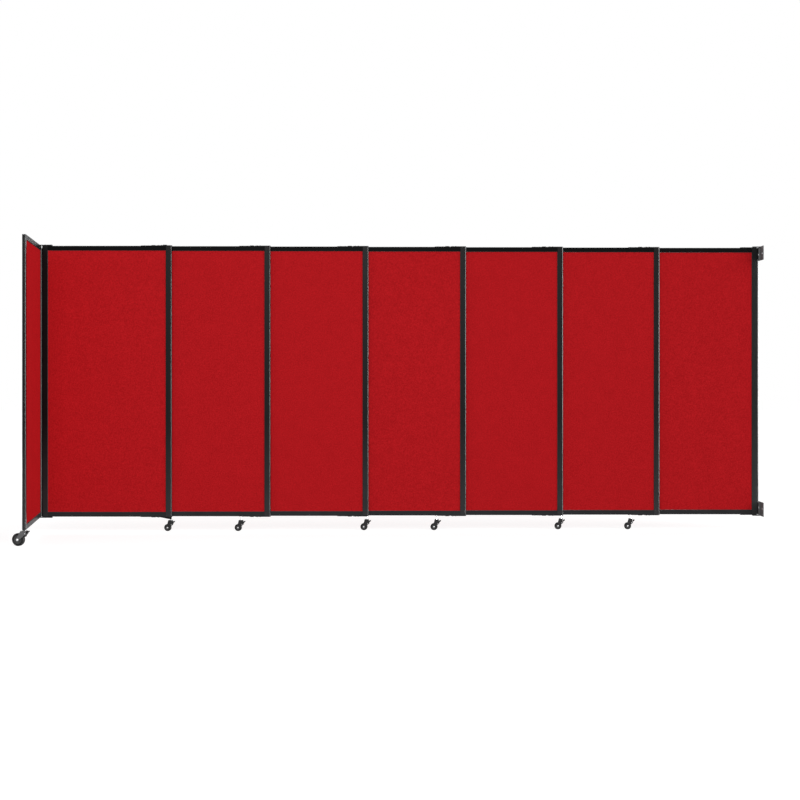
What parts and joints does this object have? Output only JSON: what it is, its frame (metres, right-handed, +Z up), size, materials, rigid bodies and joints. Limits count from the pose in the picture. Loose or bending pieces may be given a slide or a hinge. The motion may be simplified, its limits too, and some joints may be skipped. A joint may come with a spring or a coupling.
{
  "type": "sliding room divider",
  "caption": "Telescoping row of framed fabric panels on swivel casters, with a hinged end panel and wall brackets, that divides a room and slides together.",
  "frame": {"origin": "centre of the bounding box on the floor, with the row pulled out and the end panel swung to the front", "axes": "+X along the row towards the wall, +Y from the front to the back, +Z up"},
  "size_m": [4.6436, 1.0116, 1.8283],
  "materials": {
    "frame": "satin black anodised extrusion",
    "fabric": "fine mottled red felt",
    "hardware": "black powder coat",
    "wall_bracket": "dark grey powder coat",
    "bright_steel": "bright plated steel",
    "caster_fork": "satin grey",
    "caster_wheel": "matt black",
    "caster_lever": "matt black"
  },
  "bodies": {
    "wall_mount": {"wall_brackets": "wall_bracket"},
    "panel_1": {"panel_1_posts": "frame", "panel_1_rails": "frame", "panel_1_board": "fabric", "panel_1_guides": "hardware", "panel_1_hinge_bars": "hardware"},
    "panel_2": {"panel_2_posts": "frame", "panel_2_rails": "frame", "panel_2_board": "fabric", "panel_2_guides": "hardware", "panel_2_caster_stems": "bright_steel"},
    "panel_3": {"panel_3_posts": "frame", "panel_3_rails": "frame", "panel_3_board": "fabric", "panel_3_guides": "hardware"},
    "panel_4": {"panel_4_posts": "frame", "panel_4_rails": "frame", "panel_4_board": "fabric", "panel_4_guides": "hardware", "panel_4_caster_stems": "bright_steel"},
    "panel_5": {"panel_5_posts": "frame", "panel_5_rails": "frame", "panel_5_board": "fabric", "panel_5_guides": "hardware"},
    "panel_6": {"panel_6_posts": "frame", "panel_6_rails": "frame", "panel_6_board": "fabric", "panel_6_guides": "hardware", "panel_6_caster_stems": "bright_steel"},
    "panel_7": {"panel_7_posts": "frame", "panel_7_rails": "frame", "panel_7_board": "fabric", "panel_7_guides": "hardware", "panel_7_wall_leaves": "hardware"},
    "end_panel": {"end_panel_posts": "frame", "end_panel_rails": "frame", "end_panel_board": "fabric", "end_panel_pivot_plates": "hardware", "end_panel_caster_stem": "bright_steel"},
    "caster_2_left_fork": {"caster_2_left_fork": "caster_fork"},
    "caster_2_left_wheel": {"caster_2_left_wheel": "caster_wheel"},
    "caster_2_left_lever": {"caster_2_left_lever": "caster_lever"},
    "caster_2_right_fork": {"caster_2_right_fork": "caster_fork"},
    "caster_2_right_wheel": {"caster_2_right_wheel": "caster_wheel"},
    "caster_2_right_lever": {"caster_2_right_lever": "caster_lever"},
    "caster_4_left_fork": {"caster_4_left_fork": "caster_fork"},
    "caster_4_left_wheel": {"caster_4_left_wheel": "caster_wheel"},
    "caster_4_left_lever": {"caster_4_left_lever": "caster_lever"},
    "caster_4_right_fork": {"caster_4_right_fork": "caster_fork"},
    "caster_4_right_wheel": {"caster_4_right_wheel": "caster_wheel"},
    "caster_4_right_lever": {"caster_4_right_lever": "caster_lever"},
    "caster_6_left_fork": {"caster_6_left_fork": "caster_fork"},
    "caster_6_left_wheel": {"caster_6_left_wheel": "caster_wheel"},
    "caster_6_left_lever": {"caster_6_left_lever": "caster_lever"},
    "caster_6_right_fork": {"caster_6_right_fork": "caster_fork"},
    "caster_6_right_wheel": {"caster_6_right_wheel": "caster_wheel"},
    "caster_6_right_lever": {"caster_6_right_lever": "caster_lever"},
    "end_caster_fork": {"end_caster_fork": "caster_fork"},
    "end_caster_wheel": {"end_caster_wheel": "caster_wheel"},
    "end_caster_lever": {"end_caster_lever": "caster_lever"}
  },
  "joints": [
    {"name": "wall_hinge", "type": "hinge", "parent": "wall_mount", "child": "panel_7", "pos_m": [2.28528, 0.45984, 1.819], "axis": [0, 0, 1], "range_deg": [-90, 0]},
    {"name": "panel_6_slide", "type": "slide", "parent": "panel_7", "child": "panel_6", "axis": [1, 0, 0], "range_m": [0, 0.525]},
    {"name": "panel_5_slide", "type": "slide", "parent": "panel_6", "child": "panel_5", "axis": [1, 0, 0], "range_m": [0, 0.525]},
    {"name": "panel_4_slide", "type": "slide", "parent": "panel_5", "child": "panel_4", "axis": [1, 0, 0], "range_m": [0, 0.525]},
    {"name": "panel_3_slide", "type": "slide", "parent": "panel_4", "child": "panel_3", "axis": [1, 0, 0], "range_m": [0, 0.525]},
    {"name": "panel_2_slide", "type": "slide", "parent": "panel_3", "child": "panel_2", "axis": [1, 0, 0], "range_m": [0, 0.525]},
    {"name": "panel_1_slide", "type": "slide", "parent": "panel_2", "child": "panel_1", "axis": [1, 0, 0], "range_m": [0, 0.525]},
    {"name": "end_hinge", "type": "hinge", "parent": "panel_1", "child": "end_panel", "pos_m": [-2.31022, 0.30384, 1.819], "axis": [0, 0, 1], "range_deg": [-197.4, 2.6]},
    {"name": "caster_2_left_swivel", "type": "hinge", "parent": "panel_2", "child": "caster_2_left_fork", "pos_m": [-1.48022, 0.32984, 0.07], "axis": [0, 0, 1], "continuous": true},
    {"name": "caster_2_left_roll", "type": "hinge", "parent": "caster_2_left_fork", "child": "caster_2_left_wheel", "pos_m": [-1.49805, 0.33234, 0.0225], "axis": [0.1392, 0.9903, 0], "continuous": true},
    {"name": "caster_2_left_brake", "type": "hinge", "parent": "caster_2_left_fork", "child": "caster_2_left_lever", "pos_m": [-1.4719, 0.32867, 0.04311], "axis": [0.1392, 0.9903, 0], "range_deg": [0, 14]},
    {"name": "caster_2_right_swivel", "type": "hinge", "parent": "panel_2", "child": "caster_2_right_fork", "pos_m": [-1.03022, 0.32984, 0.07], "axis": [0, 0, 1], "continuous": true},
    {"name": "caster_2_right_roll", "type": "hinge", "parent": "caster_2_right_fork", "child": "caster_2_right_wheel", "pos_m": [-1.04804, 0.33234, 0.0225], "axis": [0.1392, 0.9903, 0], "continuous": true},
    {"name": "caster_2_right_brake", "type": "hinge", "parent": "caster_2_right_fork", "child": "caster_2_right_lever", "pos_m": [-1.0219, 0.32867, 0.04311], "axis": [0.1392, 0.9903, 0], "range_deg": [0, 14]},
    {"name": "caster_4_left_swivel", "type": "hinge", "parent": "panel_4", "child": "caster_4_left_fork", "pos_m": [-0.22822, 0.38184, 0.07], "axis": [0, 0, 1], "continuous": true},
    {"name": "caster_4_left_roll", "type": "hinge", "parent": "caster_4_left_fork", "child": "caster_4_left_wheel", "pos_m": [-0.24605, 0.38434, 0.0225], "axis": [0.1392, 0.9903, 0], "continuous": true},
    {"name": "caster_4_left_brake", "type": "hinge", "parent": "caster_4_left_fork", "child": "caster_4_left_lever", "pos_m": [-0.2199, 0.38067, 0.04311], "axis": [0.1392, 0.9903, 0], "range_deg": [0, 14]},
    {"name": "caster_4_right_swivel", "type": "hinge", "parent": "panel_4", "child": "caster_4_right_fork", "pos_m": [0.22178, 0.38184, 0.07], "axis": [0, 0, 1], "continuous": true},
    {"name": "caster_4_right_roll", "type": "hinge", "parent": "caster_4_right_fork", "child": "caster_4_right_wheel", "pos_m": [0.20395, 0.38434, 0.0225], "axis": [0.1392, 0.9903, 0], "continuous": true},
    {"name": "caster_4_right_brake", "type": "hinge", "parent": "caster_4_right_fork", "child": "caster_4_right_lever", "pos_m": [0.2301, 0.38067, 0.04311], "axis": [0.1392, 0.9903, 0], "range_deg": [0, 14]},
    {"name": "caster_6_left_swivel", "type": "hinge", "parent": "panel_6", "child": "caster_6_left_fork", "pos_m": [1.02378, 0.43384, 0.07], "axis": [0, 0, 1], "continuous": true},
    {"name": "caster_6_left_roll", "type": "hinge", "parent": "caster_6_left_fork", "child": "caster_6_left_wheel", "pos_m": [1.00595, 0.43634, 0.0225], "axis": [0.1392, 0.9903, 0], "continuous": true},
    {"name": "caster_6_left_brake", "type": "hinge", "parent": "caster_6_left_fork", "child": "caster_6_left_lever", "pos_m": [1.0321, 0.43267, 0.04311], "axis": [0.1392, 0.9903, 0], "range_deg": [0, 14]},
    {"name": "caster_6_right_swivel", "type": "hinge", "parent": "panel_6", "child": "caster_6_right_fork", "pos_m": [1.47378, 0.43384, 0.07], "axis": [0, 0, 1], "continuous": true},
    {"name": "caster_6_right_roll", "type": "hinge", "parent": "caster_6_right_fork", "child": "caster_6_right_wheel", "pos_m": [1.45596, 0.43634, 0.0225], "axis": [0.1392, 0.9903, 0], "continuous": true},
    {"name": "caster_6_right_brake", "type": "hinge", "parent": "caster_6_right_fork", "child": "caster_6_right_lever", "pos_m": [1.4821, 0.43267, 0.04311], "axis": [0.1392, 0.9903, 0], "range_deg": [0, 14]},
    {"name": "end_caster_swivel", "type": "hinge", "parent": "end_panel", "child": "end_caster_fork", "pos_m": [-2.20773, -0.48529, 0.09], "axis": [0, 0, 1], "continuous": true},
    {"name": "end_caster_roll", "type": "hinge", "parent": "end_caster_fork", "child": "end_caster_wheel", "pos_m": [-2.24281, -0.47719, 0.0375], "axis": [0.225, 0.9744, 0], "continuous": true},
    {"name": "end_caster_brake", "type": "hinge", "parent": "end_caster_fork", "child": "end_caster_lever", "pos_m": [-2.19565, -0.48807, 0.07311], "axis": [0.225, 0.9744, 0], "range_deg": [0, 14]}
  ]
}
